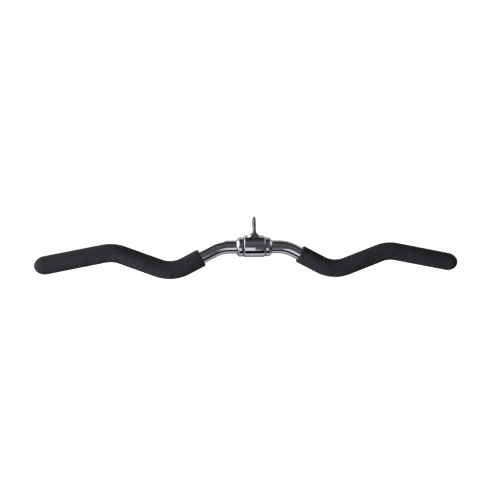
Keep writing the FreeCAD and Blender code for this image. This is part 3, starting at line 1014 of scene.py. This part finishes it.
class CURLBAR_OT_stage(bpy.types.Operator):
    """Set the floor, the soft lights and the camera"""

    bl_idname = "curlbar.stage"
    bl_label = "Stage"

    def paper(self, stage, low):
        """White seamless paper all round: floor, cove and wall. The chrome doesn't mirror it."""
        floor, cove, wall = 4, 2, 8
        points = [(0, 0, 0), (floor, 0, 0)]
        for step in range(1, COVE_STEPS + 1):
            turn = math.radians(90) * step / COVE_STEPS
            points.append((floor + cove * math.sin(turn), 0, cove * (1 - math.cos(turn))))
        points.append((floor + cove, 0, cove + wall))
        bm = bmesh.new()
        outline = draw_outline(bm, points, closed=False)
        spin_outline(bm, outline, (0, 0, 1), FULL_TURN, HUB_SEGMENTS)
        piece = add_piece(bm, "paper_sweep", height=low - stage.floor_drop)
        material, _, shader = start_material("White seamless paper")
        shader.inputs["Base Color"].default_value = opaque(stage.floor)
        shader.inputs["Roughness"].default_value = 0.9
        shader.inputs["Emission Color"].default_value = opaque(stage.floor)
        shader.inputs["Emission Strength"].default_value = 1.1
        piece.data.materials.append(material)
        piece.visible_glossy = False
        piece.visible_diffuse = False
        piece.visible_shadow = False

    def surround(self):
        """A dark studio: a white table below, its black edge in front, and a bright wall high behind."""
        world = bpy.data.worlds.new("Dark studio with a white table")
        bpy.context.scene.world = world
        world.use_nodes = True
        tree = world.node_tree
        tree.nodes.clear()
        direction = add_node(tree, "ShaderNodeTexCoord").outputs["Generated"]
        parts = add_node(tree, "ShaderNodeSeparateXYZ", inputs={"Vector": direction})
        ahead = add_node(tree, "ShaderNodeMath", {"operation": "MULTIPLY"}, {0: parts.outputs["Y"], 1: -1})
        tilt = add_node(
            tree,
            "ShaderNodeMath",
            {"operation": "ARCTAN2"},
            {0: parts.outputs["Z"], 1: ahead.outputs[0]},
        )
        share = add_node(
            tree,
            "ShaderNodeMapRange",
            inputs={"Value": tilt.outputs[0], "From Min": -math.pi, "From Max": math.pi},
        )
        ramp = add_node(tree, "ShaderNodeValToRGB", inputs={"Fac": share.outputs["Result"]})
        # Degrees up from straight ahead, and the brightness there of a grey with a trace of blue.
        bands = (
            (-180, 0.08), (-150, 0.2), (-131, 0.33), (-110, 0.5), (-98, 0.85), (-86, 0.85), (-79, 0.0),
            (-52, 0.0), (-49, 0.13), (-12, 0.16), (-4, 0.08), (6, 0.11), (40, 0.17), (57, 0.08),
            (86, 0.03), (98, 0.03), (108, 0.5), (130, 0.65), (146, 0.65), (158, 0.15), (180, 0.08),
        )
        blue = 1.02
        stops = ramp.color_ramp.elements
        while len(stops) < len(bands):
            stops.new(0.5)
        for stop, (degrees, brightness) in zip(stops, bands):
            stop.position = (degrees + 180) / 360
            stop.color = (brightness, brightness, brightness * blue, 1)
        background = add_node(
            tree, "ShaderNodeBackground", inputs={"Color": ramp.outputs["Color"], "Strength": 1.0}
        )
        add_node(tree, "ShaderNodeOutputWorld", inputs={"Surface": background.outputs["Background"]})

    def panel(self, name, place, aim, width, height, radiance):
        """A soft light panel of a given brightness that faces its aim."""
        light = bpy.data.lights.new(name, "AREA")
        light.shape = "RECTANGLE"
        light.size, light.size_y = width, height
        light.energy = radiance * width * height * math.pi
        lamp = bpy.data.objects.new(name, light)
        lamp.location = place
        lamp.rotation_euler = (Vector(aim) - Vector(place)).to_track_quat("-Z", "Y").to_euler()
        lamp.visible_camera = False
        bpy.context.scene.collection.objects.link(lamp)
        return lamp

    def strip(self, name, tilt, half_angle, start, end, radiance):
        """A light panel beside the bar, tilted about the swivel's line from straight ahead."""
        reach = 1.2
        middle, tilt = (start + end) / 2, math.radians(tilt)
        place = (middle, -reach * math.cos(tilt), SWIVEL_HEIGHT + reach * math.sin(tilt))
        height = 2 * reach * math.tan(math.radians(half_angle))
        self.panel(name, place, (middle, 0, SWIVEL_HEIGHT), end - start, height, radiance)

    def camera(self, stage):
        """The camera at the swivel's height, turned by its azimuth and rolled about its view."""
        data = bpy.data.cameras.new("Camera")
        data.sensor_width = 36
        data.lens = stage.camera_lens
        data.shift_x, data.shift_y = stage.camera_shift
        camera = bpy.data.objects.new("Camera", data)
        turn = stage.camera_azimuth
        back = Vector((math.sin(turn), -math.cos(turn), 0))
        camera.location = Vector((0, 0, SWIVEL_HEIGHT)) + back * stage.camera_distance
        look = (-back).to_track_quat("-Z", "Y").to_matrix()
        camera.rotation_euler = (look @ Matrix.Rotation(-stage.camera_roll, 3, "Z")).to_euler()
        bpy.context.scene.collection.objects.link(camera)
        bpy.context.scene.camera = camera

    def execute(self, context):
        stage = context.scene.curl_bar_stage
        context.scene.view_settings.view_transform = "Standard"
        self.paper(stage, CAD_BOX[0].z)
        self.surround()
        hub = (0, 0, SWIVEL_HEIGHT)
        # Places and sizes are in metres, the strips' angles in degrees. The key lights the grips and stays
        # out of the chrome's reflections.
        key = self.panel("key_softbox", (-2.13, -1.48, -0.15), hub, width=1.8, height=1.8, radiance=11.0)
        key.visible_glossy = False
        self.panel("left_wall", (-1.45, 0.32, 0.16), hub, width=1.27, height=1.63, radiance=1.7)
        self.panel("back_wall", (-0.44, 1.43, 0.05), hub, width=0.86, height=0.75, radiance=0.9)
        self.panel("right_card", (1.38, 0.53, 0.43), hub, width=0.77, height=0.49, radiance=0.6)
        self.strip("table_left", tilt=-31, half_angle=16, start=-1.0, end=0.135, radiance=1.0)
        self.strip("table_right", tilt=-42, half_angle=5, start=0.135, end=0.27, radiance=0.5)
        self.strip("high_back", tilt=124, half_angle=15, start=-0.65, end=-0.12, radiance=2.0)
        self.camera(stage)
        return {"FINISHED"}


class CURLBAR_PT_panel(bpy.types.Panel):
    """Curl bar tools"""

    bl_idname = "CURLBAR_PT_panel"
    bl_label = "Curl Bar"
    bl_space_type = "VIEW_3D"
    bl_region_type = "UI"
    bl_category = "Curl Bar"

    def draw(self, context):
        scene = context.scene
        for operator in OPERATORS:
            self.layout.operator(operator.bl_idname)
        for group in (scene.curl_bar_sizes, scene.curl_bar_colours, scene.curl_bar_stage):
            box = self.layout.box()
            for name in group.__annotations__:
                box.prop(group, name)


GROUPS = (CurlBarSizes, CurlBarColours, CurlBarStage)
OPERATORS = (
    CURLBAR_OT_bar,
    CURLBAR_OT_grips,
    CURLBAR_OT_hanger,
    CURLBAR_OT_collars,
    CURLBAR_OT_washers,
    CURLBAR_OT_screws,
    CURLBAR_OT_stage,
)
CLASSES = GROUPS + OPERATORS + (CURLBAR_PT_panel,)


def register():
    for item in CLASSES:
        bpy.utils.register_class(item)
    bpy.types.Scene.curl_bar_sizes = PointerProperty(type=CurlBarSizes)
    bpy.types.Scene.curl_bar_colours = PointerProperty(type=CurlBarColours)
    bpy.types.Scene.curl_bar_stage = PointerProperty(type=CurlBarStage)


def unregister():
    del bpy.types.Scene.curl_bar_stage
    del bpy.types.Scene.curl_bar_colours
    del bpy.types.Scene.curl_bar_sizes
    for item in reversed(CLASSES):
        bpy.utils.unregister_class(item)


def main():
    register()
    bpy.ops.curlbar.bar()
    bpy.ops.curlbar.grips()
    bpy.ops.curlbar.hanger()
    bpy.ops.curlbar.collars()
    bpy.ops.curlbar.washers()
    bpy.ops.curlbar.screws()
    bpy.ops.curlbar.stage()


if __name__ == "__main__":
    main()
